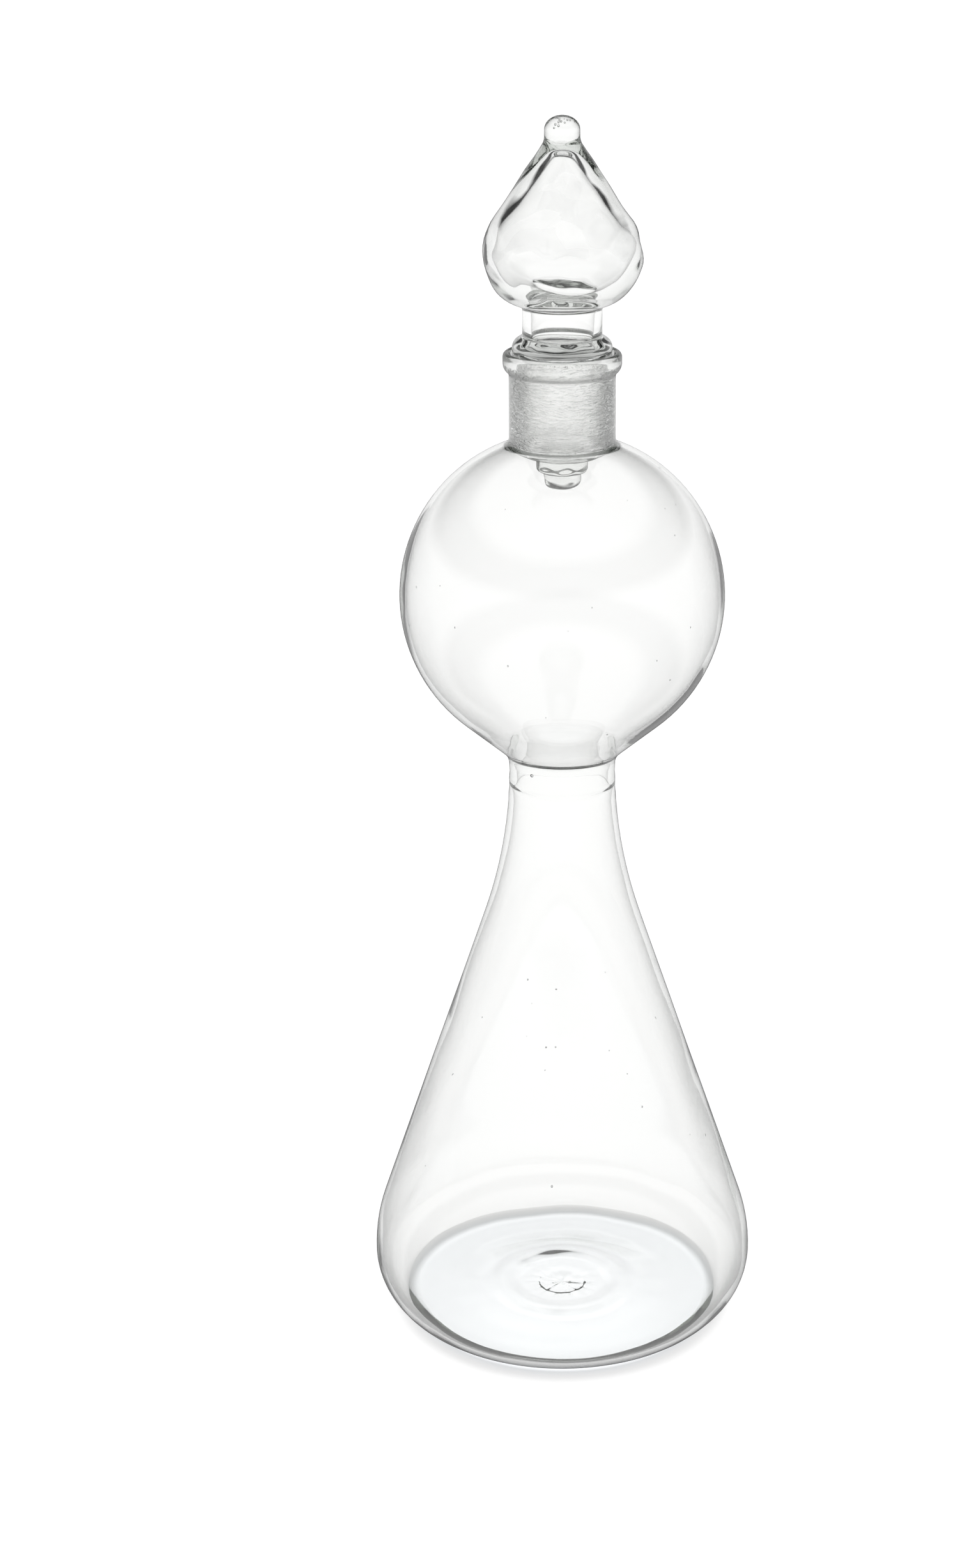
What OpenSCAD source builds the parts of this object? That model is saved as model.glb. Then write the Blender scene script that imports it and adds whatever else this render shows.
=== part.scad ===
// Two-chamber glass wasp trap: a conical flask and a globe sealed together at the waist,
// closed by a hollow ground-glass stopper with a teardrop head. All of it is blown glass,
// so every sub-part is a body of revolution about Z. The origin is the centre of the foot.

/* [Flask] */
// Greatest outside diameter, at the heel
heel_d = 109.6; // [90:0.1:135]
// Height of the widest part of the heel above the floor
heel_h = 17; // [13:0.5:22]
// How deep the flat foot cuts into the round of the heel
heel_cut = 0.5; // [0.1:0.1:1.5]
// Radius of the curve that leads from the heel into the cone
belly_r = 45; // [34:1:56]
// Height of the flask, from the floor to the seal at the waist
flask_h = 161; // [130:1:195]
// Radius of the long hollow sweep below the waist
sweep_r = 140; // [110:1:170]
// Wall of the flask
flask_wall = 1.5; // [1.1:0.1:2.2]
// Thickness of the flask's floor at its edge
base_t = 3.4; // [2.6:0.1:4.5]
// Width of the ring that the flask stands on
foot_w = 4.5; // [3:0.1:7]
// Height that the underside is pushed up inside the foot
punt_h = 1.2; // [0.9:0.1:1.6]
// Diameter of the low ring in the floor
ridge_d = 34; // [28:0.5:42]
// Width of the low ring in the floor
ridge_w = 9; // [6:0.5:11]
// Height of the low ring in the floor
ridge_h = 1.3; // [0.5:0.1:2]
// Diameter of the pontil mark under the floor
pontil_d = 8; // [5:0.5:12]
// Height of the pontil mark
pontil_h = 0.6; // [0.3:0.1:0.8]

/* [Waist] */
// Outside diameter at the crease, the narrowest place
waist_d = 29.2; // [24.3:0.1:35]
// Thickness of the glass at the crease
waist_wall = 2.2; // [1.8:0.1:4]
// Height of the crease above the top of the flask
crease_h = 5.6; // [4:0.1:8]
// Radius of the flare from the crease out to the globe
flare_r = 6; // [4.5:0.1:8]
// Rounding of the passage's lower edge
seal_round = 0.7; // [0.3:0.1:1]
// Rounding of the passage's upper edge, inside the globe
mouth_round = 2; // [1:0.1:2.4]

/* [Globe] */
// Outside diameter of the globe
globe_d = 87.6; // [72:0.1:106]
// How far the lower part of the globe is drawn down towards the waist
globe_drop = 2.6; // [1:0.1:4]
// Wall of the globe
globe_wall = 1.3; // [1:0.1:2]

/* [Neck socket] */
// Wall of the socket tube at the narrow end of its bore
socket_wall = 2.25; // [1.85:0.05:3.5]
// Height of the socket, from the globe to the top of the lip
socket_h = 24.8; // [20:0.1:30]
// Radius of the fillet between the globe and the socket
foot_fillet_r = 2.5; // [1.5:0.1:4]
// Diameter of the ground bore at its narrow lower end
bore_d = 23.7; // [19.7:0.1:28.5]
// Taper of the ground joint, as change of diameter over length
joint_taper = 0.1; // [0.08:0.01:0.12]
// Radial clearance between the ground plug and the ground bore
joint_clearance = 0.05; // [0.02:0.01:0.1]
// How far the lip stands out beyond the socket tube
lip_out = 1.6; // [1:0.1:2.6]
// Height of the rolled lip
lip_h = 5.8; // [5:0.1:7]
// Radius of the lip's upper edge
lip_edge_r = 1.2; // [0.8:0.1:1.5]
// Depth of the funnel inside the lip
funnel_h = 3.6; // [2.5:0.1:5]

/* [Stopper plug] */
// How far the plug reaches below the socket into the globe
plug_reach = 3.4; // [2.5:0.1:6]
// Radius of the plug's rounded lower end
plug_end_r = 4.6; // [3.2:0.1:5.6]
// How far the plug stands up above the lip
plug_proud = 3.9; // [3.2:0.1:5]
// Radius of the shoulder at the top of the plug
shoulder_r = 2.6; // [1.8:0.1:3.2]
// Wall of the plug
plug_wall = 2.2; // [1.6:0.1:2.8]
// Thickness of the glass floor between the neck and the plug
septum_t = 2.2; // [1.5:0.1:3]
// Depth of the neck's hollow below the top of the plug
septum_drop = 2.5; // [1.5:0.1:3]

/* [Nib] */
// Diameter of the blowing hole in the plug's end, which the nib seals
nib_hole_d = 5; // [4:0.5:9]
// Diameter of the nib's upper tier
nib_d = 13.8; // [11.5:0.1:16.6]
// Height of the nib's upper tier
nib_tier_h = 3.8; // [2.5:0.1:5]
// Diameter of the nib's lower tier
nib_tip_d = 10.4; // [8:0.1:12.5]
// Height of the nib's lower tier
nib_tip_h = 4.2; // [3:0.1:6]

/* [Stopper head] */
// Outside diameter of the stopper's neck
head_neck_d = 20.8; // [17.3:0.1:25]
// Length of the stopper's neck
head_neck_h = 8.2; // [6:0.1:11]
// Wall of the stopper's neck
head_neck_wall = 2.2; // [1.6:0.1:2.8]
// How far the neck flares where it joins the teardrop
head_flare = 0.8; // [0.3:0.1:1.2]
// Greatest diameter of the teardrop
drop_d = 42; // [35:0.1:51]
// Radius of the teardrop's underside
drop_low_r = 13; // [10.8:0.1:15.6]
// Radius of the teardrop's upper side, before it runs into the cone
drop_high_r = 17; // [14:0.1:20.4]
// Height from the teardrop's widest part to the straight of the finial
drop_top_h = 30; // [25:0.1:36]
// Wall of the teardrop
drop_wall = 3.7; // [2.5:0.1:4.5]
// Radius of the top of the teardrop's hollow
hollow_tip_r = 6; // [4:0.1:7.2]

/* [Finial] */
// Diameter of the solid finial
finial_d = 9.2; // [7.5:0.1:11]
// Length of the finial above its fillet
finial_h = 5.1; // [4:0.1:8]
// Radius of the fillet between the teardrop and the finial
finial_fillet_r = 4; // [3:0.1:5]
// Rounding of the finial's tip
finial_round = 3; // [2:0.1:3.6]

/* [Hidden] */
$fn = 96;
clear_glass = [0.86, 0.90, 0.90, 0.45];
thick_glass = [0.78, 0.84, 0.83, 0.55];
ground_glass = [0.90, 0.91, 0.89, 0.75];
arc_step = 6;    // largest turn between two points of an arc, in degrees
overcut = 1;     // how far a cutting solid runs past the face it cuts

// Points of an arc about c, from angle a0 to angle a1.
function arc_count(a0, a1) = max(2, ceil(abs(a1 - a0) / arc_step));
function arc(c, r, a0, a1) = [
  for (i = [0:arc_count(a0, a1)])
    let (a = a0 + (a1 - a0) * i / arc_count(a0, a1))
    [c[0] + r * cos(a), c[1] + r * sin(a)]
];
// Angle of the normal of the line that touches a bulging arc about c0 and a hollow arc about c1.
// Walls are offset from both arcs alike, so the angle is the same inside and outside.
function rising_tangent(c0, r0, c1, r1) =
  atan2(c1[1] - c0[1], c1[0] - c0[0]) - acos((r0 + r1) / norm(c1 - c0));
function falling_tangent(c0, r0, c1, r1) =
  atan2(c1[1] - c0[1], c1[0] - c0[0]) + acos((r0 + r1) / norm(c1 - c0));

// Flask: heel and belly bulge, the sweep below the waist is hollow, a cone joins them.
crease_z = flask_h + crease_h;
heel_r = heel_h + heel_cut;
heel_c = [heel_d / 2 - heel_r, heel_h];
belly_c = [heel_d / 2 - belly_r, heel_h];
sweep_c = [waist_d / 2 + sweep_r, crease_z];
cone_a = rising_tangent(belly_c, belly_r, sweep_c, sweep_r);
foot_r = heel_c[0] + sqrt(pow(heel_r, 2) - pow(heel_h, 2));
foot_in_r = foot_r - foot_w;
function sweep_end(t) = 180 + asin(crease_h / (sweep_r + t));
function flask_side(t, low_z) = concat(
  arc(heel_c, heel_r - t, -asin((heel_h - low_z) / (heel_r - t)), 0),
  arc(belly_c, belly_r - t, 0, cone_a),
  arc(sweep_c, sweep_r + t, 180 + cone_a, sweep_end(t))
);

// Globe: its circle and the flare above the crease share a tangent cone.
globe_r = globe_d / 2;
flare_c = [waist_d / 2 + flare_r, crease_z];
globe_rise = sqrt(pow(globe_r + flare_r, 2) - pow(flare_c[0], 2)) + globe_drop;
globe_c = [0, crease_z + globe_rise];
globe_a = falling_tangent(globe_c, globe_r, flare_c, flare_r);
collar_top_z = crease_z - flare_r * sin(globe_a);
collar_top_r = flare_c[0] - flare_r * cos(globe_a);
waist_bore_r = waist_d / 2 - waist_wall;

// Socket: its fillet touches the globe where the two pieces of glass meet.
bore_r = bore_d / 2;
socket_r = bore_r + socket_wall;
fillet_x = socket_r + foot_fillet_r;
socket_a = acos(fillet_x / (globe_r + foot_fillet_r));
fillet_c = [fillet_x, globe_c[1] + (globe_r + foot_fillet_r) * sin(socket_a)];
socket_z = globe_c[1] + globe_r * sin(socket_a);
socket_top_z = socket_z + socket_h;
lip_r = socket_r + lip_out;
lip_bulge_r = lip_h / 2;
lip_bulge_a = -55;
lip_roll_a = 130;
function bore_at(z) = bore_r + (z - socket_z) * joint_taper / 2;

// Plug: the socket's taper less the clearance. Its lower rounding leaves a flat end for
// the nib to close, and its shoulder leaves a flat top for the neck to stand on.
function plug_at(z) = bore_at(z) - joint_clearance;
nib_hole_r = nib_hole_d / 2;
nib_r = nib_d / 2;
nib_rim = 0.05;
plug_z = socket_z - plug_reach;
plug_end_round = min(plug_end_r, plug_at(plug_z) - max(nib_r, nib_hole_r) - nib_rim);
plug_end_z = plug_z + plug_end_round;
plug_end_c = [plug_at(plug_end_z) - plug_end_round, plug_end_z];
head_neck_r = head_neck_d / 2;
plug_top_z = socket_top_z + plug_proud;
shoulder_round = min(shoulder_r, plug_at(plug_top_z - shoulder_r) - head_neck_r);
shoulder_z = plug_top_z - shoulder_round;
shoulder_c = [plug_at(shoulder_z) - shoulder_round, shoulder_z];
septum_z = plug_top_z - septum_drop;
hollow_round = 1.2;
nib_z = plug_z - nib_tier_h - nib_tip_h;
nib_edge_r = 1.2;
nib_tip_round = 2.4;

// Head: the teardrop's upper arc and the finial's fillet share a tangent cone. Its underside
// is flat between the neck and the lower arc where that arc starts further out than the neck.
head_bore_r = head_neck_r - head_neck_wall;
head_z = plug_top_z + head_neck_h;
head_foot_r = head_neck_r + head_flare;
drop_r = drop_d / 2;
drop_low_x = drop_r - drop_low_r;
drop_low_a = -acos(max(head_foot_r - drop_low_x, 0) / drop_low_r);
drop_z = head_z - drop_low_r * sin(drop_low_a);
drop_low_c = [drop_low_x, drop_z];
drop_high_c = [drop_r - drop_high_r, drop_z];
finial_r = finial_d / 2;
finial_c = [finial_r + finial_fillet_r, drop_z + drop_top_h];
finial_a = rising_tangent(drop_high_c, drop_high_r, finial_c, finial_fillet_r);
finial_z = finial_c[1] - finial_fillet_r * sin(finial_a);
finial_foot_r = finial_c[0] - finial_fillet_r * cos(finial_a);
finial_top_z = finial_c[1] + finial_h;
hollow_side_r = drop_high_r - drop_wall;
hollow_tip_z = drop_z
  + (hollow_side_r + drop_high_c[0] * cos(finial_a) - hollow_tip_r) / sin(finial_a);

module turned(outline) rotate_extrude() polygon(outline);

// Conical flask with a thick floor, a flat foot ring and a low ring in its floor.
module flask() {
  ridge_r = ridge_d / 2;
  ridge = [
    for (u = [1:-0.25:-1])
      [ridge_r + u * ridge_w / 2, base_t + ridge_h * (1 + cos(180 * u)) / 2]
  ];
  side_out = flask_side(0, 0);
  side_in = flask_side(flask_wall, base_t);
  under = [
    [0, punt_h - pontil_h],
    [pontil_d / 2 - pontil_h, punt_h - pontil_h],
    [pontil_d / 2, punt_h],
    [foot_in_r - 2 * punt_h, punt_h],
    [foot_in_r, 0]
  ];
  color(clear_glass)
    turned(concat(
      under,
      side_out,
      [for (i = [len(side_in) - 1:-1:0]) side_in[i]],
      ridge,
      [[0, base_t]]
    ));
}

// Thick ring of glass where the globe is sealed to the top of the flask.
module waist_collar() {
  flask_bore_r = sweep_c[0] + (sweep_r + flask_wall) * cos(sweep_end(flask_wall));
  low_round = min(seal_round, flask_bore_r - waist_bore_r);
  low_c = [waist_bore_r + low_round, flask_h + low_round];
  high_c = [waist_bore_r + mouth_round, collar_top_z - mouth_round];
  color(thick_glass)
    turned(concat(
      [[flask_bore_r, flask_h]],
      arc(sweep_c, sweep_r, sweep_end(0), 180),
      arc(flare_c, flare_r, 180, 180 + globe_a),
      arc(high_c, mouth_round, 90, 180),
      arc(low_c, low_round, 180, 270)
    ));
}

// Blown globe, open at the waist and at the socket.
module globe() {
  inner_r = globe_r - globe_wall;
  inner_flare_r = flare_r + globe_wall;
  flare_a = 180 - asin((collar_top_z - crease_z) / inner_flare_r);
  color(clear_glass)
    difference() {
      turned(concat(
        [[0, collar_top_z]],
        [[collar_top_r, collar_top_z]],
        arc(globe_c, globe_r, globe_a, socket_a),
        [[0, socket_z]]
      ));
      turned(concat(
        [[0, collar_top_z - overcut]],
        [[flare_c[0] + inner_flare_r * cos(flare_a), collar_top_z - overcut]],
        arc(flare_c, inner_flare_r, flare_a, 180 + globe_a),
        arc(globe_c, inner_r, globe_a, 90)
      ));
      translate([0, 0, globe_c[1]]) cylinder(h = globe_r, r = bore_r);
    }
}

// Socket with a ground conical bore and a rolled lip.
module neck_socket() {
  lip_z = socket_top_z - lip_h;
  bulge_c = [lip_r - lip_bulge_r, socket_top_z - lip_h / 2];
  edge_c = [lip_r - lip_edge_r, socket_top_z - lip_edge_r];
  funnel_z = socket_top_z - funnel_h;
  color(ground_glass)
    turned(concat(
      [[bore_at(socket_z), socket_z]],
      arc(fillet_c, foot_fillet_r, 180 + socket_a, 180),
      [[socket_r, lip_z]],
      arc(bulge_c, lip_bulge_r, lip_bulge_a, 0),
      arc(edge_c, lip_edge_r, 0, lip_roll_a),
      [[bore_at(funnel_z), funnel_z]]
    ));
}

// Hollow ground plug, closed above by a septum and nearly closed below, but for a blowing hole.
module stopper_plug() {
  hollow_top_z = septum_z - septum_t;
  hollow_corner_z = hollow_top_z - hollow_round;
  hollow_x = plug_at(hollow_corner_z) - plug_wall - hollow_round;
  end_in_r = plug_end_round - plug_wall;
  color(ground_glass)
    turned(concat(
      [[nib_hole_r, plug_z]],
      arc(plug_end_c, plug_end_round, -90, 0),
      arc(shoulder_c, shoulder_round, 0, 90),
      [[head_bore_r, plug_top_z]],
      arc([head_bore_r - hollow_round, septum_z + hollow_round], hollow_round, 0, -90),
      [[0, septum_z]],
      [[0, hollow_top_z]],
      arc([hollow_x, hollow_corner_z], hollow_round, 90, 0),
      arc(plug_end_c, end_in_r, 0, -90),
      [[nib_hole_r, plug_z + plug_wall]]
    ));
}

// Solid two-tier drip that seals the blowing hole in the end of the plug.
module stopper_nib() {
  tier_z = plug_z - nib_tier_h;
  tip_r = nib_tip_d / 2;
  edge_r = min(nib_edge_r, nib_r - tip_r);
  color(thick_glass)
    turned(concat(
      [[0, nib_z]],
      arc([tip_r - nib_tip_round, nib_z + nib_tip_round], nib_tip_round, -90, 0),
      [[tip_r, tier_z]],
      arc([nib_r - edge_r, tier_z + edge_r], edge_r, -90, 0),
      [[nib_r, plug_z]],
      [[nib_hole_r, plug_z]],
      [[nib_hole_r, plug_z + plug_wall]],
      [[0, plug_z + plug_wall]]
    ));
}

// Short hollow neck between the plug and the teardrop.
module stopper_neck() {
  flare_round = 2 * head_flare;
  flare_a = acos(1 - head_flare / flare_round);
  flare_z = head_z - flare_round * sin(flare_a);
  color(clear_glass)
    turned(concat(
      [[head_bore_r, plug_top_z]],
      [[head_neck_r, plug_top_z]],
      arc([head_neck_r + flare_round, flare_z], flare_round, 180, 180 - flare_a),
      [[head_bore_r, head_z]]
    ));
}

// Thick hollow teardrop.
module stopper_teardrop() {
  low_in_r = drop_low_r - drop_wall;
  color(clear_glass)
    difference() {
      turned(concat(
        [[0, head_z]],
        arc(drop_low_c, drop_low_r, drop_low_a, 0),
        arc(drop_high_c, drop_high_r, 0, finial_a),
        [[finial_foot_r, finial_z]],
        [[0, finial_z]]
      ));
      turned(concat(
        [[0, drop_z - low_in_r]],
        arc(drop_low_c, low_in_r, -90, 0),
        arc(drop_high_c, hollow_side_r, 0, finial_a),
        arc([0, hollow_tip_z], hollow_tip_r, finial_a, 90)
      ));
      translate([0, 0, head_z - overcut])
        cylinder(h = drop_z - head_z, r = head_bore_r);
    }
}

// Solid finial with a rounded tip.
module stopper_finial() {
  round_c = [finial_r - finial_round, finial_top_z - finial_round];
  color(thick_glass)
    turned(concat(
      [[0, finial_z]],
      arc(finial_c, finial_fillet_r, 180 + finial_a, 180),
      arc(round_c, finial_round, 0, 90),
      [[0, finial_top_z]]
    ));
}

flask();
waist_collar();
globe();
neck_socket();
stopper_plug();
stopper_nib();
stopper_neck();
stopper_teardrop();
stopper_finial();
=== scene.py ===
import math
import random

import bpy
import numpy as np
from mathutils import Euler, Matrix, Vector, noise


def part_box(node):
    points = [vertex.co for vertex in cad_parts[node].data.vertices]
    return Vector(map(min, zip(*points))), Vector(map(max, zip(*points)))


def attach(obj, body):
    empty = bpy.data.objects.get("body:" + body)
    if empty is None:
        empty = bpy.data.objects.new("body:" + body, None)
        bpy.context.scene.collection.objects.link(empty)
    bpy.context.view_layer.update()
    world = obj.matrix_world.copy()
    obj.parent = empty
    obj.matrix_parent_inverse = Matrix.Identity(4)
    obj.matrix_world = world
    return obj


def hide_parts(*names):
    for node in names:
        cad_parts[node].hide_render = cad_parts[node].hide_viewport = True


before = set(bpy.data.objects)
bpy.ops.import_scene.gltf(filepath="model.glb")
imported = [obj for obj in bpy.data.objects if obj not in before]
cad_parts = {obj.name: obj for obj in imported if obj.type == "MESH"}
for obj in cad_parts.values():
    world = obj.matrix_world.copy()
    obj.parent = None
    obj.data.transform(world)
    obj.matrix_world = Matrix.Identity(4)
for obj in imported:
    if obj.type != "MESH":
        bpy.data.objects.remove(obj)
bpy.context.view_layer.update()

# Lengths below are in millimetres, and MM turns them into Blender's metres.
MM = 0.001
ROUND_SEGMENTS = 192          # divisions round the axis
SEED_AROUND, SEED_ROWS = 12, 6  # divisions of a seed round its axis, and from top to bottom
FINE_STEP = 0.2               # spacing of an outline's points while it is smoothed
LONGEST_STEP = 2.4            # longest side of a mesh face along the outline
SHARPEST_TURN = math.radians(5)  # most that the outline turns between two rings
ARC_STEP = math.radians(2)
MELT_SPREAD = 0.6             # spread of the smoothing, as a share of its reach
MELT_CUT = 2.5                # where the smoothing is cut off, as a share of its reach


# ---------------------------------------------------------------- sizes from the CAD frame

def extent(node):
    """(radius, lowest z, highest z) of a CAD node, in millimetres."""
    low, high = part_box(node)
    return high[0] / MM, low[2] / MM, high[2] / MM


heel_r, _, flask_top_z = extent("flask")
_, _, collar_top_z = extent("waist_collar")
globe_r, _, socket_z = extent("globe")
lip_r, _, lip_top_z = extent("neck_socket")
_, plug_z, plug_top_z = extent("stopper_plug")
nib_r, nib_z, nib_top_z = extent("stopper_nib")
head_foot_r, _, head_z = extent("stopper_neck")
drop_r, _, finial_z = extent("stopper_teardrop")
_, _, finial_top_z = extent("stopper_finial")

# Sizes that the frame doesn't give. _R is a radius, _H a height, _T a thickness, _W a width.
# Flask
HEEL_H = 17.0
HEEL_CUT = 0.5
BELLY_R = 45.0
SWEEP_R = 140.0
FLASK_WALL = 1.5
BASE_T = 3.4
FOOT_W = 4.5
PUNT_H = 1.2
PUNT_W = 20.0
RIDGE_R = 17.0
RIDGE_W = 12.0
RIDGE_H = 0.85
RINGS_H = 0.16                # faint rings in the floor: height at the middle, spacing and fading
RINGS_PITCH = 9.0
RINGS_FADE_R = 30.0
BOSS_H = 0.35                 # low boss in the middle of the floor
BOSS_R = 5.0
PONTIL_R = 6.5
PONTIL_H = 0.3
# Waist
WAIST_R = 14.6
WAIST_BORE_R = 12.4
CREASE_H = 5.6
FLARE_R = 6.0
SEAL_ROUND = 0.7
MOUTH_ROUND = 2.0
# Globe and socket
GLOBE_DROP = 2.6
GLOBE_WALL = 1.3
SOCKET_R = 14.1
FOOT_FILLET_R = 2.5
BORE_R = 11.85
JOINT_TAPER = 0.1
LIP_H = 5.8
LIP_EDGE_R = 1.2
LIP_LOW_A = math.radians(-55)  # where the lip's two arcs begin and end
LIP_HIGH_A = math.radians(130)
FUNNEL_H = 3.6
# Stopper
JOINT_CLEARANCE = 0.05
PLUG_END_R = 4.6
SHOULDER_R = 2.6
PLUG_WALL = 2.2
SEPTUM_T = 1.6
SEPTUM_DROP = 2.5
NIB_HOLE_R = 2.5
NIB_TIER_H = 3.8
NIB_TIER_ROUND = 1.2
NIB_TIP_R = 5.2
NIB_TIP_ROUND = 2.4
PLUG_HOLLOW_ROUND = 3.2
NECK_HOLLOW_ROUND = 2.4
NECK_FLARE_R = 1.6
NECK_R = 10.4
NECK_WALL = 2.2
DROP_LOW_R = 13.0
DROP_HIGH_R = 17.0
DROP_WALL = 3.7
HOLLOW_TIP_R = 4.2
FINIAL_R = 4.6
FINIAL_H = 5.1
FINIAL_FILLET_R = 4.0
FINIAL_DOME = 3.5
# How far the flame rounded the corners: in general, and at the place that it melted most
VESSEL_MELT, WAIST_MELT = 0.4, 1.5
STOPPER_MELT, SHOULDER_MELT = 0.35, 1.3
HEAD_HOLLOW_MELT, HEAD_MOUTH_MELT = 0.5, 4.5
PLUG_HOLLOW_MELT = 0.35


# ---------------------------------------------------------------- outlines

def arc(centre, radius, a0, a1):
    """Points of an arc about centre, from angle a0 to a1 in radians."""
    count = max(2, math.ceil(abs(a1 - a0) / ARC_STEP))
    angles = np.linspace(a0, a1, count + 1)
    return [(centre[0] + radius * math.cos(a), centre[1] + radius * math.sin(a)) for a in angles]


def dome(radius, foot_z, rise):
    """A half ellipse over the axis, from its foot to its top."""
    return [(radius * x, foot_z + rise * y) for x, y in arc((0, 0), 1, 0, math.pi / 2)]


def tangent(c0, r0, c1, r1, side):
    """Angle of the normal of the line that touches two arcs.

    The arc about c0 bulges out and the arc about c1 is hollow. side picks one of the two lines.
    """
    across, up = c1[0] - c0[0], c1[1] - c0[1]
    return math.atan2(up, across) + side * math.acos((r0 + r1) / math.hypot(across, up))


def resampled(points, step):
    """The same outline with its points evenly spaced."""
    points = np.array(points, float)
    lengths = np.hypot(*np.diff(points, axis=0).T)
    points = points[np.concatenate([[True], lengths > 1e-6])]
    along = np.concatenate([[0], np.cumsum(np.hypot(*np.diff(points, axis=0).T))])
    want = np.linspace(0, along[-1], max(2, round(along[-1] / step)) + 1)
    return np.stack([np.interp(want, along, points[:, i]) for i in range(2)], axis=1)


def fire_polished(points, reach):
    """The outline with its corners melted round. reach is about the radius that they get."""
    points = resampled(points, FINE_STEP)
    half = max(1, round(MELT_CUT * reach / FINE_STEP))
    away = np.arange(-half, half + 1) * FINE_STEP
    weights = np.exp(-0.5 * (away / (reach * MELT_SPREAD)) ** 2)
    weights /= weights.sum()
    mirror = np.array([-1.0, 1.0])
    before = points[half:0:-1] * mirror
    after = points[-2:-half - 2:-1] * mirror
    padded = np.concatenate([before, points, after])
    smooth = np.stack([np.convolve(padded[:, i], weights, "valid") for i in range(2)], axis=1)
    smooth[[0, -1], 0] = 0
    return smooth


def softened(points, reach, soft_reach, softness):
    """Fire-polished by reach, and by soft_reach where softness(z) is 1."""
    fine, soft = fire_polished(points, reach), fire_polished(points, soft_reach)
    share = np.array([[softness(z)] for z in fine[:, 1]])
    return fine + (soft - fine) * share


def thinned(points):
    """The outline with fewer points where it is nearly straight."""
    heading = np.unwrap(np.arctan2(*np.diff(points, axis=0).T[::-1]))
    kept, length, turn = [0], 0.0, 0.0
    for i in range(1, len(points) - 1):
        length += math.hypot(*(points[i] - points[i - 1]))
        turn += abs(heading[i] - heading[i - 1])
        if length + FINE_STEP > LONGEST_STEP or turn > SHARPEST_TURN:
            kept.append(i)
            length, turn = 0.0, 0.0
    kept.append(len(points) - 1)
    return points[kept]


crease_z = flask_top_z + CREASE_H
heel_turn_r = HEEL_H + HEEL_CUT
heel_c = (heel_r - heel_turn_r, HEEL_H)
belly_c = (heel_r - BELLY_R, HEEL_H)
sweep_c = (WAIST_R + SWEEP_R, crease_z)
cone_a = tangent(belly_c, BELLY_R, sweep_c, SWEEP_R, -1)
foot_r = heel_c[0] + math.sqrt(heel_turn_r ** 2 - HEEL_H ** 2)
foot_in_r = foot_r - FOOT_W
flare_c = (WAIST_R + FLARE_R, crease_z)
globe_c = (0.0, crease_z + math.sqrt((globe_r + FLARE_R) ** 2 - flare_c[0] ** 2) + GLOBE_DROP)
globe_a = tangent(globe_c, globe_r, flare_c, FLARE_R, 1)
fillet_x = SOCKET_R + FOOT_FILLET_R
socket_a = math.acos(fillet_x / (globe_r + FOOT_FILLET_R))
fillet_c = (fillet_x, globe_c[1] + (globe_r + FOOT_FILLET_R) * math.sin(socket_a))


def bore_at(z):
    """Radius of the ground bore at height z."""
    return BORE_R + (z - socket_z) * JOINT_TAPER / 2


def plug_at(z):
    """Radius of the ground plug at height z."""
    return bore_at(z) - JOINT_CLEARANCE


def at_waist(z):
    """1 at the waist, where the seal was made in the flame, and 0 away from it."""
    return hump(z, centre=flask_top_z + 6, width=11)


def floor_rise(r):
    """Height of the floor above its plain level: a ridge, faint rings round it and a low boss."""
    from_ridge = r - RIDGE_R
    on_ridge = abs(from_ridge) < RIDGE_W / 2
    ridge = RIDGE_H * max(0.0, math.cos(math.pi * from_ridge / RIDGE_W)) ** 2 * on_ridge
    rings = RINGS_H * math.cos(2 * math.pi * r / RINGS_PITCH) * math.exp(-r / RINGS_FADE_R)
    boss = BOSS_H * math.exp(-(r / BOSS_R) ** 2)
    return ridge + rings + boss


def flask_side(t, low_z):
    """One wall of the flask, t inside the outer one, from height low_z up.

    The outer wall goes up to the crease, and an inner one to the flask's top.
    """
    low_a = -math.asin((HEEL_H - low_z) / (heel_turn_r - t))
    stop_a = math.asin(CREASE_H / (SWEEP_R + t)) if t else 0
    return (
        arc(heel_c, heel_turn_r - t, low_a, 0)
        + arc(belly_c, BELLY_R - t, 0, cone_a)
        + arc(sweep_c, SWEEP_R + t, math.pi + cone_a, math.pi + stop_a)
    )


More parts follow.
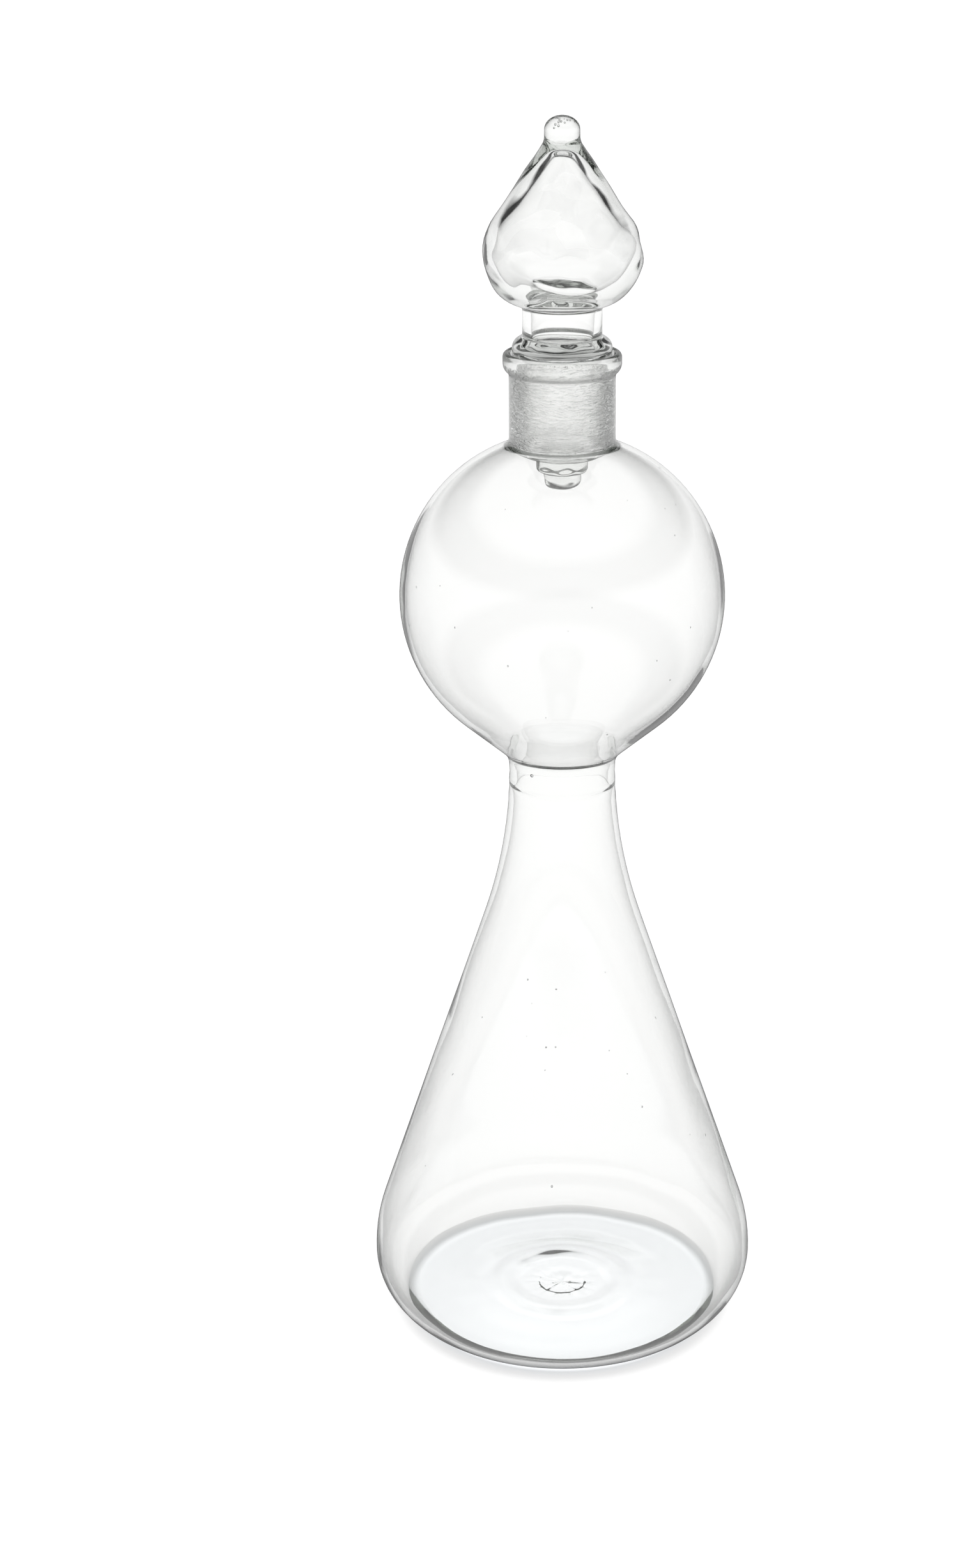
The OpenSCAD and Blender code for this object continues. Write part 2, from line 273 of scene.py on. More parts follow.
def vessel_outline():
    """The whole vessel: from the axis under the foot, up the outside, and down the inside."""
    pontil_z = PUNT_H - PONTIL_H
    under = [(0, pontil_z), (PONTIL_R, pontil_z), (PONTIL_R + PONTIL_H, PUNT_H)]
    for r in np.arange(PONTIL_R + 1, foot_in_r, 1.0):
        under.append((r, PUNT_H * ease(r, foot_in_r, foot_in_r - PUNT_W)))
    under.append((foot_in_r, 0))
    lip_c = (lip_r - LIP_H / 2, lip_top_z - LIP_H / 2)
    lip_edge_c = (lip_r - LIP_EDGE_R, lip_top_z - LIP_EDGE_R)
    outside = (
        flask_side(0, 0)
        + arc(flare_c, FLARE_R, math.pi, math.pi + globe_a)
        + arc(globe_c, globe_r, globe_a, socket_a)
        + arc(fillet_c, FOOT_FILLET_R, math.pi + socket_a, math.pi)
        + [(SOCKET_R, lip_top_z - LIP_H)]
        + arc(lip_c, LIP_H / 2, LIP_LOW_A, 0)
        + arc(lip_edge_c, LIP_EDGE_R, 0, LIP_HIGH_A)
    )
    funnel_z = lip_top_z - FUNNEL_H
    inner_globe_r = globe_r - GLOBE_WALL
    inner_flare_r = FLARE_R + GLOBE_WALL
    bore_a = math.acos(BORE_R / inner_globe_r)
    flare_a = math.pi - math.asin((collar_top_z - crease_z) / inner_flare_r)
    mouth_c = (WAIST_BORE_R + MOUTH_ROUND, collar_top_z - MOUTH_ROUND)
    seal_c = (WAIST_BORE_R + SEAL_ROUND, flask_top_z + SEAL_ROUND)
    inside = (
        [(bore_at(funnel_z), funnel_z), (BORE_R, socket_z)]
        + arc(globe_c, inner_globe_r, bore_a, globe_a)
        + arc(flare_c, inner_flare_r, math.pi + globe_a, flare_a)
        + arc(mouth_c, MOUTH_ROUND, math.pi / 2, math.pi)
        + arc(seal_c, SEAL_ROUND, math.pi, 1.5 * math.pi)
        + flask_side(FLASK_WALL, BASE_T)[::-1]
    )
    floor_edge_r, floor_step = inside[-1][0], 0.5
    floor_rs = np.arange(floor_edge_r - floor_step, 0, -floor_step)
    floor = [(r, BASE_T + floor_rise(r)) for r in floor_rs]
    return under + outside + inside + floor + [(0, BASE_T + floor_rise(0))]


plug_end_c = (plug_at(plug_z + PLUG_END_R) - PLUG_END_R, plug_z + PLUG_END_R)
shoulder_z = plug_top_z - SHOULDER_R
septum_z = plug_top_z - SEPTUM_DROP
drop_low_x = drop_r - DROP_LOW_R
drop_low_a = -math.acos((head_foot_r - drop_low_x) / DROP_LOW_R)
drop_z = head_z - DROP_LOW_R * math.sin(drop_low_a)
drop_high_c = (drop_r - DROP_HIGH_R, drop_z)
finial_c = (FINIAL_R + FINIAL_FILLET_R, finial_top_z - FINIAL_H)
finial_a = tangent(drop_high_c, DROP_HIGH_R, finial_c, FINIAL_FILLET_R, -1)


def stopper_outline():
    """Outside of the stopper, from the nib's tip up to the finial's tip."""
    tier_z = plug_z - NIB_TIER_H
    tip_c = (NIB_TIP_R - NIB_TIP_ROUND, nib_z + NIB_TIP_ROUND)
    tier_c = (nib_r - NIB_TIER_ROUND, tier_z + NIB_TIER_ROUND)
    shoulder_c = (plug_at(shoulder_z) - SHOULDER_R, shoulder_z)
    flare_a = math.acos(1 - (head_foot_r - NECK_R) / NECK_FLARE_R)
    neck_flare_c = (NECK_R + NECK_FLARE_R, head_z - NECK_FLARE_R * math.sin(flare_a))
    return (
        [(0, nib_z)]
        + arc(tip_c, NIB_TIP_ROUND, -math.pi / 2, 0)
        + [(NIB_TIP_R, tier_z)]
        + arc(tier_c, NIB_TIER_ROUND, -math.pi / 2, 0)
        + [(nib_r, plug_z)]
        + arc(plug_end_c, PLUG_END_R, -math.pi / 2, 0)
        + arc(shoulder_c, SHOULDER_R, 0, math.pi / 2)
        + [(NECK_R, plug_top_z)]
        + arc(neck_flare_c, NECK_FLARE_R, math.pi, math.pi - flare_a)
        + arc((drop_low_x, drop_z), DROP_LOW_R, drop_low_a, 0)
        + arc(drop_high_c, DROP_HIGH_R, 0, finial_a)
        + arc(finial_c, FINIAL_FILLET_R, math.pi + finial_a, math.pi)
        + dome(FINIAL_R, finial_top_z - FINIAL_DOME, FINIAL_DOME)
    )


def plug_hollow_outline():
    """The sealed hollow in the plug, from the nib up to the septum."""
    top_z = septum_z - SEPTUM_T
    corner_z = top_z - PLUG_HOLLOW_ROUND
    corner_c = (plug_at(corner_z) - PLUG_WALL - PLUG_HOLLOW_ROUND, corner_z)
    return (
        [(0, nib_top_z), (NIB_HOLE_R, nib_top_z)]
        + arc(plug_end_c, PLUG_END_R - PLUG_WALL, -math.pi / 2, 0)
        + arc(corner_c, PLUG_HOLLOW_ROUND, 0, math.pi / 2)
        + [(0, top_z)]
    )


def at_shoulder(z):
    """1 at the plug's shoulder and the neck's foot, and 0 away from them."""
    return hump(z, centre=plug_top_z, width=2.5)


def at_head_mouth(z):
    """1 where the neck opens into the teardrop, and 0 away from it."""
    return hump(z, centre=head_z + 2, width=6)


def head_hollow_outline():
    """The sealed hollow in the neck and the teardrop, from the septum up to its pointed top."""
    neck_bore_r = NECK_R - NECK_WALL
    corner_c = (neck_bore_r - NECK_HOLLOW_ROUND, septum_z + NECK_HOLLOW_ROUND)
    side_r = DROP_HIGH_R - DROP_WALL
    tip_reach = side_r + drop_high_c[0] * math.cos(finial_a) - HOLLOW_TIP_R
    tip_z = drop_z + tip_reach / math.sin(finial_a)
    low_in_r = DROP_LOW_R - DROP_WALL
    bore_a = -math.acos(max(-1.0, min(1.0, (neck_bore_r - drop_low_x) / low_in_r)))
    return (
        [(0, septum_z)]
        + arc(corner_c, NECK_HOLLOW_ROUND, -math.pi / 2, 0)
        + arc((drop_low_x, drop_z), low_in_r, bore_a, 0)
        + arc(drop_high_c, side_r, 0, finial_a)
        + arc((0, tip_z), HOLLOW_TIP_R, finial_a, math.pi / 2)
    )


# ---------------------------------------------------------------- meshes

class Glass:
    """Closed surfaces of revolution gathered into one mesh, with two attributes per vertex.

    ground is 1 on ground glass. The other is how strongly the painted edge shade shows, 1 on plain
    glass.
    """

    def __init__(self):
        self.vertices, self.faces, self.ground, self.edge_shade_strength = [], [], [], []

    def turn(self, outline, shift, ground=None, edge_shade_strength=None, hollow=False):
        """Turns an outline from axis to axis.

        shift(r, z, angle, inner) gives the hand-made error (dr, dz). inner is True past the
        outline's highest point, where it comes down again inside the vessel. ground and depth
        give their attribute at (r, z).
        """
        base = len(self.vertices)
        rings = outline[1:-1]
        highest = int(np.argmax(rings[:, 1]))
        for i, (r, z) in enumerate(rings):
            for k in range(ROUND_SEGMENTS):
                angle = 2 * math.pi * k / ROUND_SEGMENTS
                dr, dz = shift(r, z, angle, i > highest)
                x, y = (r + dr) * math.cos(angle), (r + dr) * math.sin(angle)
                self.vertices.append((x, y, z + dz))
            self.ground += [ground(r, z) if ground else 0.0] * ROUND_SEGMENTS
            self.edge_shade_strength += [edge_shade_strength(r, z) if edge_shade_strength else 1.0] * ROUND_SEGMENTS
        first, last = len(self.vertices), len(self.vertices) + 1
        for (r, z), inner in ((outline[0], False), (outline[-1], highest < len(rings) - 1)):
            self.vertices.append((0, 0, z + shift(0, z, 0, inner)[1]))
            self.ground.append(0.0)
            self.edge_shade_strength.append(1.0)
        faces = []
        for k in range(ROUND_SEGMENTS):
            n = (k + 1) % ROUND_SEGMENTS
            top = base + (len(rings) - 1) * ROUND_SEGMENTS
            faces.append((first, base + k, base + n))
            faces.append((last, top + n, top + k))
            for i in range(len(rings) - 1):
                low, high = base + i * ROUND_SEGMENTS, base + (i + 1) * ROUND_SEGMENTS
                faces.append((low + k, high + k, high + n, low + n))
        self.faces += faces if hollow else [face[::-1] for face in faces]

    def seed(self, centre, radius, stretch=1.0):
        """A seed: a small closed bubble in the glass, stretched along Z."""
        around, rows = SEED_AROUND, SEED_ROWS
        base = len(self.vertices)
        x, y, z = centre
        for i in range(1, rows):
            polar = math.pi * i / rows
            for k in range(around):
                angle = 2 * math.pi * k / around
                side = radius * math.sin(polar)
                rise = stretch * radius * math.cos(polar)
                side_x, side_y = side * math.cos(angle), side * math.sin(angle)
                self.vertices.append((x + side_x, y + side_y, z + rise))
        high, low = len(self.vertices), len(self.vertices) + 1
        self.vertices += [(x, y, z + stretch * radius), (x, y, z - stretch * radius)]
        self.ground += [0.0] * (len(self.vertices) - base)
        self.edge_shade_strength += [1.0] * (len(self.vertices) - base)
        for k in range(around):
            n = (k + 1) % around
            end = base + (rows - 2) * around
            self.faces.append((high, base + n, base + k))
            self.faces.append((low, end + k, end + n))
            for i in range(rows - 2):
                a, b = base + i * around, base + (i + 1) * around
                self.faces.append((a + k, a + n, b + n, b + k))

    def build(self, name, material):
        """Makes the smooth-shaded Blender object, in metres."""
        mesh = bpy.data.meshes.new(name)
        mesh.from_pydata([Vector(v) * MM for v in self.vertices], [], self.faces)
        mesh.polygons.foreach_set("use_smooth", [True] * len(mesh.polygons))
        for attribute, values in (("ground", self.ground), ("edge_shade_strength", self.edge_shade_strength)):
            layer = mesh.attributes.new(attribute, "FLOAT", "POINT")
            layer.data.foreach_set("value", values)
        mesh.materials.append(material)
        mesh.update()
        piece = bpy.data.objects.new(name, mesh)
        bpy.context.scene.collection.objects.link(piece)
        return piece


# ---------------------------------------------------------------- marks of the hand

# How far each mark moves the glass
FLOOR_RIPPLE = 0.16
UNDERSIDE_RIPPLE = 0.08
SCAR_H = 0.5
OUTER_WAVE = 0.1
INNER_WAVE = 0.24
GLOBE_SAG = 0.5               # extra glass where the globe is drawn down to the waist
TOOL_RING_H = 0.09
TOOL_RING_PITCH = 1.5
NIB_LUMP = 0.5
NIB_WORN = 0.5                # shares of a wave by which the nib and the head are drawn in
HEAD_DRAWN_IN = 0.6
HEAD_WAVE = 0.62
NECK_WAVE = 0.06
PLUG_WAVE = 0.22
PLUG_END_WAVE = 0.15
HOLLOW_WAVE = 0.1
FOLD = 0.75
SWIRL_H = 0.28
SWIRL_TURN = 1.9              # radians that the swirl turns for each millimetre outwards
CREASE_DEPTH = 0.5
CREASE_WIDTH = 0.2            # in radians round the teardrop
CREASE_PLACE = 0.75           # radians from the +X side towards the -Y side
CREASE_LEAN = 0.02            # radians for each millimetre up
CREASE_BEND = 0.1
CREASE_BEND_PITCH = 5


def wave(r, z, angle, size, seed, stretch=1.0):
    """Smooth noise round the object, from -1 to 1. size is the length of a wave across."""
    x, y = r * math.cos(angle), r * math.sin(angle)
    return noise.noise(Vector((x / size + seed, y / size, z / (size * stretch))))


def ease(x, low, high):
    """0 below low, 1 above high, smooth between them. low may be the larger."""
    t = min(1.0, max(0.0, (x - low) / (high - low)))
    return t * t * (3 - 2 * t)


def hump(x, centre, width):
    """A soft bump, 1 high."""
    return math.exp(-((x - centre) / width) ** 2)


def vessel_shift(r, z, angle, inner):
    """Uneven walls, tooling rings round the waist, and ripples and a broken scar in the floor."""
    if r < foot_in_r - 2 and z < BASE_T + 3:
        if inner:
            inside_foot = ease(r, foot_in_r, foot_in_r - 6)
            return 0, FLOOR_RIPPLE * wave(r, z, angle, size=11, seed=5.0) * inside_foot
        scar = abs(wave(r, 0, angle, size=3.4, seed=9.0)) * ease(r, 11, 4)
        inside_foot = ease(r, foot_in_r - 2, foot_in_r - 8)
        ripple = UNDERSIDE_RIPPLE * wave(r, 0, angle, size=7, seed=2.0) * inside_foot
        return 0, SCAR_H * scar + ripple
    if inner:
        clear_of_joint = ease(z, socket_z - 1, socket_z - 8)
        off_waist = ease(r, WAIST_BORE_R, WAIST_BORE_R + 8)
        sag = GLOBE_SAG * hump(z, collar_top_z + 6, 12) * off_waist
        uneven = INNER_WAVE * wave(r, z, angle, size=17, seed=11.0, stretch=1.6)
        return (uneven - sag) * clear_of_joint, 0
    ring = math.sin(2 * math.pi * z / TOOL_RING_PITCH)
    rings = TOOL_RING_H * ring * hump(z, flask_top_z + 1, 5)
    return OUTER_WAVE * (wave(r, z, angle, size=30, seed=3.0) - 1) + rings, 0


def stopper_shift(r, z, angle, inner):
    """Nothing on the ground taper, a lumpy nib, and slow waves in the head."""
    if z < plug_z + 0.5:
        lump = wave(r, z, angle, size=3.6, seed=21.0) - NIB_WORN
        return NIB_LUMP * lump * ease(r, 1, 4), 0
    if z < plug_top_z:
        return 0, 0
    on_drop = HEAD_WAVE * ease(z, head_z, head_z + 8) * ease(z, finial_z + 1, finial_z - 6)
    turned = angle + 0.05 * z
    slow = wave(r, z, turned, size=9, seed=4.0, stretch=1.1) - HEAD_DRAWN_IN
    return (NECK_WAVE + on_drop) * slow, 0


def plug_hollow_shift(r, z, angle, inner):
    """Slow waves down the plug's hollow, and over its two ends."""
    drawn = PLUG_WAVE * wave(r, z, angle, size=9, seed=14.0, stretch=1.5) * ease(r, 1, 4)
    return drawn, PLUG_END_WAVE * wave(r, z, angle, size=6, seed=17.0)


def head_hollow_shift(r, z, angle, inner):
    """A swirl on the neck's floor, folds down the teardrop's inside, and a short crooked crease."""
    if z < septum_z + 1:
        swirl = math.sin(angle + SWIRL_TURN * r)
        return 0, SWIRL_H * swirl * ease(r, 8, 5) * ease(r, 0.3, 1.5)
    turned = angle - 0.06 * z
    folded = FOLD * wave(r, z, turned, size=9, seed=31.0, stretch=1.2)
    folds = folded * ease(z, head_z + 5, head_z + 15)
    bend = CREASE_BEND * math.sin(2 * math.pi * (z - drop_z) / CREASE_BEND_PITCH)
    seam = (angle + CREASE_LEAN * (z - drop_z) + bend + CREASE_PLACE) % (2 * math.pi)
    from_seam = min(seam, 2 * math.pi - seam)
    crease = CREASE_DEPTH * hump(from_seam, 0, CREASE_WIDTH) * hump(z, drop_z + 9, 5)
    uneven = HOLLOW_WAVE * wave(r, z, angle, size=7, seed=8.0)
    return (uneven + folds - crease) * ease(r, 0.5, 4), 0


WALL_SEED_STRETCH = 1.3


def wall_seeds(glass, chance, count, radii, low_z, high_z, mid_wall):
    """Scatters seeds in the middle of a wall. mid_wall(z) is its radius at height z."""
    for _ in range(count):
        z = chance.uniform(low_z, high_z)
        angle = chance.uniform(0, 2 * math.pi)
        r = mid_wall(z)
        centre = (r * math.cos(angle), r * math.sin(angle), z)
        glass.seed(centre, chance.uniform(*radii), WALL_SEED_STRETCH)


# ---------------------------------------------------------------- glass material

def add_node(nodes, kind, values=None, **settings):
    """Adds a node, with values for its inputs by their names, and settings for its own fields."""
    node = nodes.new(kind)
    for field, setting in settings.items():
        setattr(node, field, setting)
    for socket, value in (values or {}).items():
        node.inputs[socket].default_value = value
    return node


def add_ramp(nodes, stops):
    """Adds a colour ramp through stops, a list of (position, grey or colour)."""
    node = nodes.new("ShaderNodeValToRGB")
    elements = node.color_ramp.elements
    while len(elements) < len(stops):
        elements.new(0.5)
    for element, (position, colour) in zip(elements, stops):
        element.position = position
        element.color = (*colour, 1) if isinstance(colour, tuple) else (colour, colour, colour, 1)
    return node


def glass_material(name, edge_shade, absorb_per_m):
    """Clear glass: darker where it is seen edge-on, ground where the ground attribute says so.

    The shade is painted shade: the tint of a coat that reflects nothing, darker the more edge-on
    the surface is seen, standing in for the dark lines that refraction and reflection of the
    surroundings give at glass edges. A coat's tint also deepens by itself with the length of the
    light's path through it, as the tint of a real wall does; that is the small real part of it.
    """
    material = bpy.data.materials.new(name)
    material.use_nodes = True
    nodes, links = material.node_tree.nodes, material.node_tree.links
    nodes.clear()
    out = nodes.new("ShaderNodeOutputMaterial")
    shader = add_node(nodes, "ShaderNodeBsdfPrincipled", {
        "Transmission Weight": 1.0,
        "IOR": 1.47,
        "Base Color": (0.995, 0.995, 0.993, 1),
        "Coat Weight": 1.0,
        "Coat Roughness": 0.0,
        "Coat IOR": 1.0,
    })
    links.new(shader.outputs["BSDF"], out.inputs["Surface"])

    # Painted edge shade: the coat's tint darkens with how edge-on the surface is seen, scaled by
    # the per-vertex shade strength.
    facing = add_node(nodes, "ShaderNodeLayerWeight", {"Blend": 0.5})
    shade = add_ramp(nodes, edge_shade)
    edge_shade_strength = add_node(nodes, "ShaderNodeAttribute", attribute_name="edge_shade_strength")
    deepened = add_node(nodes, "ShaderNodeMath", operation="MULTIPLY")
    links.new(facing.outputs["Facing"], deepened.inputs[0])
    links.new(edge_shade_strength.outputs["Fac"], deepened.inputs[1])
    links.new(deepened.outputs["Value"], shade.inputs["Fac"])
    links.new(shade.outputs["Color"], shader.inputs["Coat Tint"])

    absorb = add_node(nodes, "ShaderNodeVolumeAbsorption", {
        "Color": (0.81, 0.83, 0.805, 1),
        "Density": absorb_per_m,
    })
    links.new(absorb.outputs["Volume"], out.inputs["Volume"])

    # Ground zones: patchy roughness, and fine scratches that run mostly round the joint.
    place = nodes.new("ShaderNodeTexCoord")
    mask = add_node(nodes, "ShaderNodeAttribute", attribute_name="ground")
    patches = add_node(nodes, "ShaderNodeTexNoise", {"Scale": 85.0, "Detail": 3.0})
    links.new(place.outputs["Object"], patches.inputs["Vector"])
    rough = add_node(nodes, "ShaderNodeMapRange", {
        "From Min": 0.46,
        "From Max": 0.62,
        "To Min": 0.0,
        "To Max": 0.2,
    })
    links.new(patches.outputs["Fac"], rough.inputs["Value"])
    masked = add_node(nodes, "ShaderNodeMath", operation="MULTIPLY")
    links.new(rough.outputs["Result"], masked.inputs[0])
    links.new(mask.outputs["Fac"], masked.inputs[1])
    links.new(masked.outputs["Value"], shader.inputs["Roughness"])

    squeeze = add_node(nodes, "ShaderNodeMapping", {"Scale": (1, 1, 3.5)})
    links.new(place.outputs["Object"], squeeze.inputs["Vector"])
    scratches = add_node(nodes, "ShaderNodeTexNoise", {
        "Scale": 420.0,
        "Detail": 4.0,
        "Distortion": 1.2,
    })
    links.new(squeeze.outputs["Vector"], scratches.inputs["Vector"])
    scratched = add_node(nodes, "ShaderNodeBump", {"Distance": 0.0004})
    links.new(scratches.outputs["Fac"], scratched.inputs["Height"])
    links.new(mask.outputs["Fac"], scratched.inputs["Strength"])

    # The whole surface: the faint unevenness of blown glass.
    swirl = add_node(nodes, "ShaderNodeTexNoise", {"Scale": 45.0, "Detail": 2.0})
    links.new(place.outputs["Object"], swirl.inputs["Vector"])
    blown = add_node(nodes, "ShaderNodeBump", {"Strength": 0.12, "Distance": 0.0008})
    links.new(swirl.outputs["Fac"], blown.inputs["Height"])
    links.new(scratched.outputs["Normal"], blown.inputs["Normal"])
    links.new(blown.outputs["Normal"], shader.inputs["Normal"])
    return material


# ---------------------------------------------------------------- vessel and stopper

ON_TAPER = 0.3                # how near a ring is to the taper to count as on it


def bore_ground(r, z):
    """1 on the ground bore of the socket, 0 on clear glass."""
    on_bore = abs(r - bore_at(z)) < ON_TAPER
    return 1.0 if on_bore and socket_z - 0.5 < z < lip_top_z - FUNNEL_H + 0.3 else 0.0


def plug_ground(r, z):
    """1 on the ground taper of the plug, 0 on clear glass."""
    on_plug = r > plug_at(z) - ON_TAPER
    return 1.0 if on_plug and plug_z + PLUG_END_R < z < lip_top_z else 0.0


# How much deeper than 1 the painted edge shade is, or fainter, at each place
HEEL_DEEPER = 0.4
LIP_DEEPER = 0.45
CROWN_FAINTER = 0.45
BORE_FAINTER = 0.75
PLUG_FAINTER = 0.5
FINIAL_DEEPER = 0.8


def vessel_edge_shade_strength(r, z):
    """Strength of the vessel's painted edge shade: more at the heel and lip, less at the crown and
    bore.

    The crown is the globe's top with the socket.
    """
    lip_z = lip_top_z - LIP_H
    heel = HEEL_DEEPER * ease(z, HEEL_H + 12, HEEL_H - 4)
    lip = LIP_DEEPER * ease(z, lip_z - 0.5, lip_z + 1)
    over_globe = ease(z, globe_c[1] + 12, globe_c[1] + 30)
    crown = CROWN_FAINTER * over_globe * ease(z, lip_z + 0.5, lip_z - 1)
    return (1 + heel + lip - crown) * (1 - BORE_FAINTER * bore_ground(r, z))


def stopper_edge_shade_strength(r, z):
    """Strength of the stopper's painted edge shade: less from the plug to the neck, more at the
    finial.
    """
    plug = PLUG_FAINTER * ease(z, plug_z, plug_z + 2) * ease(z, head_z + 3, head_z - 1)
    return 1 - plug + FINIAL_DEEPER * ease(z, finial_z - 1, finial_z + 2)


def globe_mid_wall(z):
    """Radius of the middle of the globe's wall at height z."""
    return math.sqrt((globe_r - GLOBE_WALL / 2) ** 2 - (z - globe_c[1]) ** 2)


def cone_mid_wall(z):
    """Radius of the middle of the flask's wall at height z, where the flask is a cone."""
    normal = np.array([math.cos(cone_a), math.sin(cone_a)])
    low = np.array(belly_c) + (BELLY_R - FLASK_WALL / 2) * normal
    return low[0] - (z - low[1]) * math.tan(cone_a)


# Painted edge shade, standing in for dark refracted surroundings: what a wall lets through where it
# is seen face-on (0) and edge-on (1)
VESSEL_SHADE = [(0.0, 0.994), (0.4, 0.988), (0.6, 0.968), (0.8, 0.94), (1.0, 0.9)]
STOPPER_SHADE = [(0.0, 0.996), (0.4, 0.985), (0.6, 0.955), (0.8, 0.92), (1.0, 0.86)]

VESSEL_ABSORB_PER_M = 70.0
STOPPER_ABSORB_PER_M = 40.0

# The one larger seed in the collar
WAIST_SEED_R = 13.6
WAIST_SEED_Z = 167.0
WAIST_SEED_A = math.radians(-126)
WAIST_SEED_SIZE = 0.5

# The crowd of seeds under the finial's domed tip
TIP_SEEDS = 30
TIP_SEED_REACH = 3.4
TIP_SEED_DEPTH = 0.8
TIP_SEED_SPREAD = 0.9
TIP_SEED_SIZES = (0.14, 0.32)

chance = random.Random(11)

vessel = Glass()
vessel_rings = thinned(softened(vessel_outline(), VESSEL_MELT, WAIST_MELT, at_waist))
vessel.turn(vessel_rings, vessel_shift, bore_ground, vessel_edge_shade_strength)
wall_seeds(
    vessel, chance, count=26, radii=(0.1, 0.26),
    low_z=collar_top_z + 8, high_z=socket_z - 6, mid_wall=globe_mid_wall,
)
wall_seeds(
    vessel, chance, count=22, radii=(0.1, 0.3),
    low_z=HEEL_H + 32, high_z=HEEL_H + 80, mid_wall=cone_mid_wall,
)
waist_seed_x = WAIST_SEED_R * math.cos(WAIST_SEED_A)
waist_seed_y = WAIST_SEED_R * math.sin(WAIST_SEED_A)
vessel.seed((waist_seed_x, waist_seed_y, WAIST_SEED_Z), WAIST_SEED_SIZE)
vessel_material = glass_material("vessel_clear_glass", VESSEL_SHADE, VESSEL_ABSORB_PER_M)
vessel_glass = vessel.build("vessel_glass", vessel_material)
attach(vessel_glass, "vessel")
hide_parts("flask", "waist_collar", "globe", "neck_socket")

stopper = Glass()
stopper_rings = thinned(softened(stopper_outline(), STOPPER_MELT, SHOULDER_MELT, at_shoulder))
plug_hollow_rings = thinned(fire_polished(plug_hollow_outline(), PLUG_HOLLOW_MELT))
head_hollow_rings = thinned(
    softened(head_hollow_outline(), HEAD_HOLLOW_MELT, HEAD_MOUTH_MELT, at_head_mouth)
)
stopper.turn(stopper_rings, stopper_shift, plug_ground, stopper_edge_shade_strength)
stopper.turn(plug_hollow_rings, plug_hollow_shift, hollow=True)
stopper.turn(head_hollow_rings, head_hollow_shift, hollow=True)
for _ in range(TIP_SEEDS):
    tip_r = TIP_SEED_REACH * math.sqrt(chance.random())
    tip_a = chance.uniform(0, 2 * math.pi)
    fall = 1.1 * (tip_r / 3) ** 3  # the crowd follows the dome down
    tip_z = finial_top_z - TIP_SEED_DEPTH - fall - chance.uniform(0, TIP_SEED_SPREAD)
    centre = (tip_r * math.cos(tip_a), tip_r * math.sin(tip_a), tip_z)
    stopper.seed(centre, chance.uniform(*TIP_SEED_SIZES))
stopper_material = glass_material("stopper_clear_glass", STOPPER_SHADE, STOPPER_ABSORB_PER_M)
stopper_glass = stopper.build("stopper_glass", stopper_material)
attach(stopper_glass, "stopper")
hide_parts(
    "stopper_plug", "stopper_nib", "stopper_neck", "stopper_teardrop", "stopper_finial",
)


# ---------------------------------------------------------------- floor, light and camera

# The table and the camera are in metres, unlike the glass.
TABLE_R = 2.5
TABLE_DROP = 0.0002           # keeps the table's face off the foot's
TABLE_GLOW = 1.25
# The table's glow colour at a share of the heel's radius from the middle: a painted pool of light
# under the floor, and a soft grey ring of painted shadow that stands for the heel's contact shade
TABLE_PAINTED_LIGHT_AND_SHADOW = [
    (0.0, (0.975, 0.985, 1.0)),
    (0.77, (0.96, 0.975, 1.0)),
    (0.81, (0.53, 0.54, 0.55)),
    (0.86, (0.6, 0.6, 0.6)),
    (0.91, (0.735, 0.735, 0.735)),
]
# The sky's brightness by the sine of the height above the horizon
SKY_BANDS = [(0.18, 1.07), (0.32, 0.05), (0.56, 0.05), (0.7, 0.9)]
CAMERA_PLACE = (0, -0.7, 0.42)
CAMERA_DIP = math.radians(21.37)


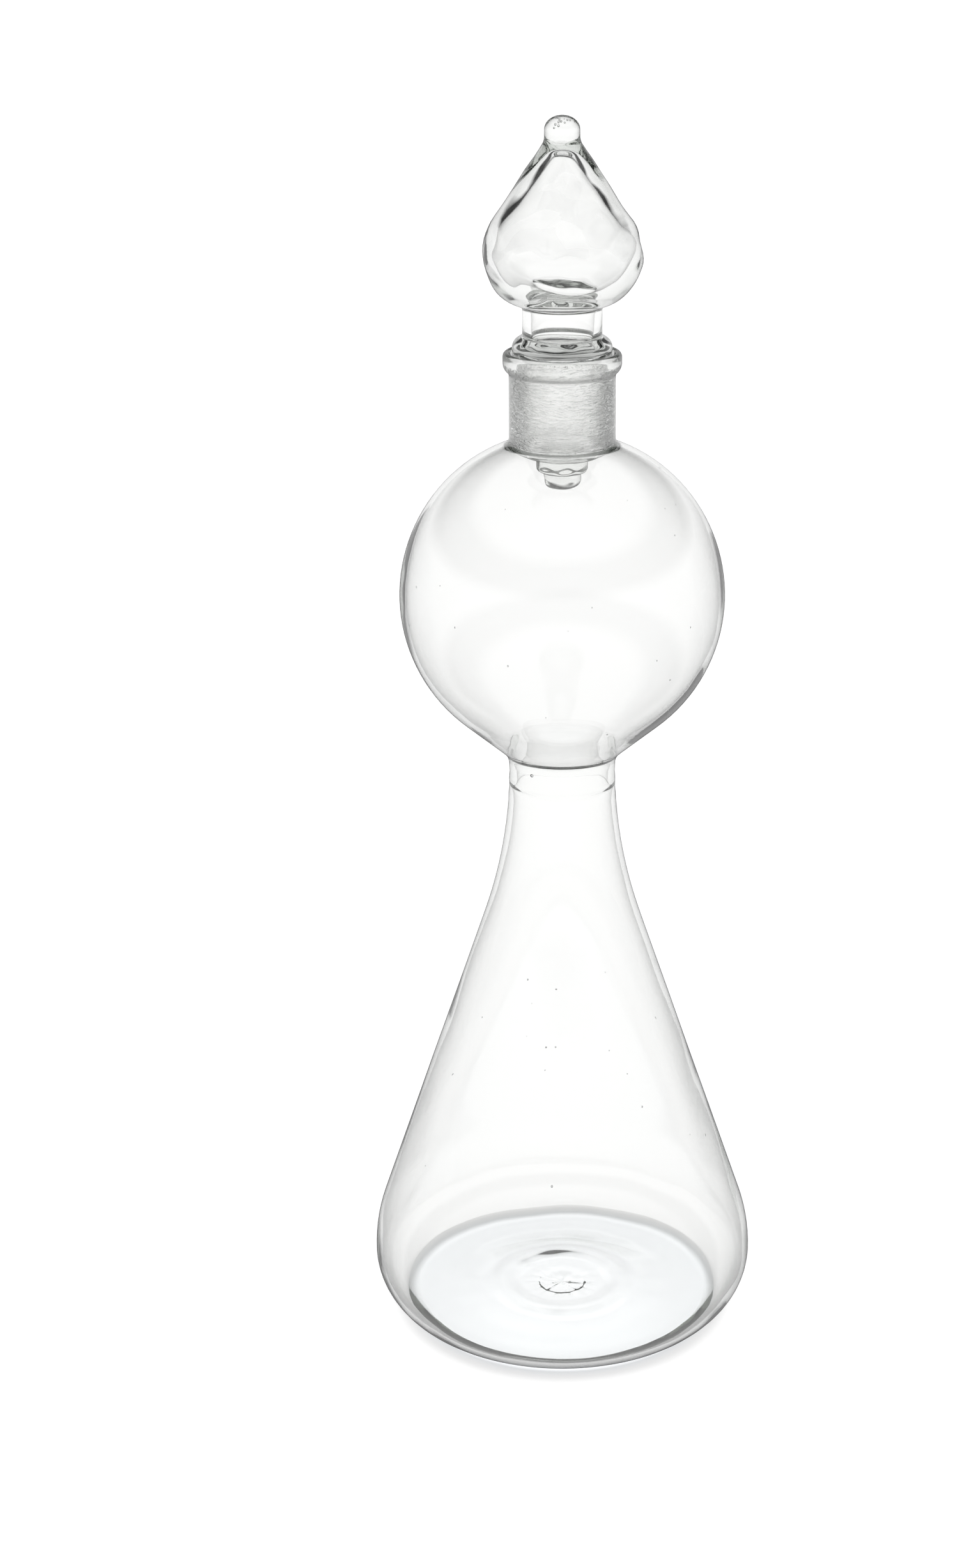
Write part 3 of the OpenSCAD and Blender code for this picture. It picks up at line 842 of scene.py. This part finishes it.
def table_material():
    """A white table lit from below, with a painted pool of light under the vessel's floor and a
    painted contact shadow of the heel round the foot.
    """
    material = bpy.data.materials.new("table_white_painted_light")
    material.use_nodes = True
    nodes, links = material.node_tree.nodes, material.node_tree.links
    shader = nodes["Principled BSDF"]
    shader.inputs["Base Color"].default_value = (0.25, 0.25, 0.25, 1)
    shader.inputs["Roughness"].default_value = 0.8
    shader.inputs["Emission Strength"].default_value = TABLE_GLOW
    place = nodes.new("ShaderNodeTexCoord")
    away = add_node(nodes, "ShaderNodeVectorMath", operation="LENGTH")
    reach = add_node(nodes, "ShaderNodeMath", {1: heel_r * MM}, operation="DIVIDE")
    painted_glow = add_ramp(nodes, TABLE_PAINTED_LIGHT_AND_SHADOW)
    links.new(place.outputs["Object"], away.inputs[0])
    links.new(away.outputs["Value"], reach.inputs[0])
    links.new(reach.outputs["Value"], painted_glow.inputs["Fac"])
    # Painted light and shadow: the glow is brighter under the vessel's floor and dimmed in a ring
    # round the foot.
    links.new(painted_glow.outputs["Color"], shader.inputs["Emission Color"])
    return material


bpy.ops.mesh.primitive_circle_add(
    vertices=96, radius=TABLE_R, fill_type="NGON", location=(0, 0, -TABLE_DROP)
)
table = bpy.context.object
table.name = "table"
table.data.materials.append(table_material())


def studio_world():
    """A white backdrop all round, a dark band above it, and a soft white light overhead.

    The band is there for the glass, which shows it as dark lines.
    """
    world = bpy.data.worlds.new("studio")
    bpy.context.scene.world = world
    world.use_nodes = True
    nodes, links = world.node_tree.nodes, world.node_tree.links
    nodes.clear()
    out = nodes.new("ShaderNodeOutputWorld")
    light = nodes.new("ShaderNodeBackground")
    where = nodes.new("ShaderNodeTexCoord")
    split = nodes.new("ShaderNodeSeparateXYZ")
    bands = add_ramp(nodes, SKY_BANDS)
    links.new(where.outputs["Generated"], split.inputs["Vector"])
    links.new(split.outputs["Z"], bands.inputs["Fac"])
    links.new(bands.outputs["Color"], light.inputs["Color"])
    links.new(light.outputs["Background"], out.inputs["Surface"])


studio_world()

camera_data = bpy.data.cameras.new("camera")
camera_data.lens = 62.1
camera_data.sensor_width = 36
camera_data.shift_x = -0.0505
camera_data.shift_y = 0.0307
camera = bpy.data.objects.new("camera", camera_data)
camera.location = CAMERA_PLACE
camera.rotation_euler = Euler((math.radians(90) - CAMERA_DIP, 0, 0))
bpy.context.scene.collection.objects.link(camera)
bpy.context.scene.camera = camera

scene = bpy.context.scene
scene.view_settings.view_transform = "Standard"
scene.cycles.max_bounces = 32
scene.cycles.transmission_bounces = 32
scene.cycles.glossy_bounces = 16
